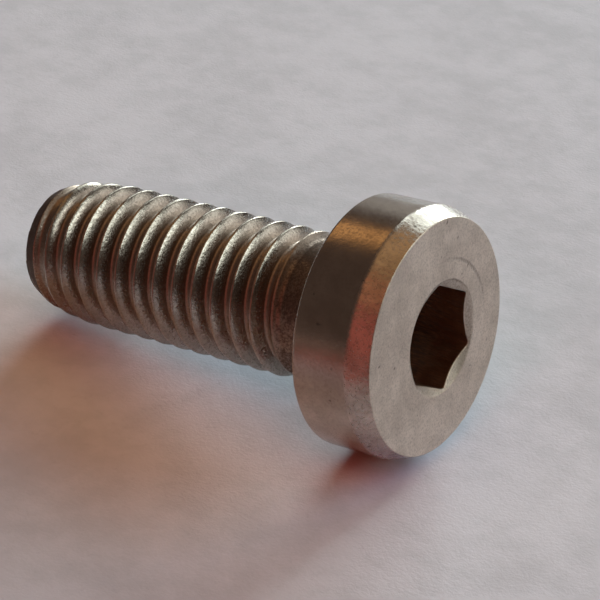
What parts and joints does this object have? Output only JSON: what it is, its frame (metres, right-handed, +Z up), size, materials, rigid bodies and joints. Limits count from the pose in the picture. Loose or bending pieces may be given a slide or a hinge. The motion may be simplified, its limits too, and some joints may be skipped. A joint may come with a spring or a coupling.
{
  "type": "hex socket cap screw",
  "caption": "Low-head hex socket cap screw in plain stainless steel, right-hand metric coarse thread up to a short neck, bevelled head and chamfered end.",
  "frame": {"origin": "bottom centre of the bounding box of the screw as it lies at rest", "axes": "+Z up; +X along the screw towards its head, 7.64 degrees below the screw's own axis, because the head's rear edge holds that end up; +Y across"},
  "size_m": [0.0254, 0.013, 0.0133],
  "materials": {
    "steel": "plain stainless steel: dull grained face and thread, semi-gloss turned side and bevel"
  },
  "bodies": {
    "root": {"cap_screw": "steel"}
  },
  "joints": []
}
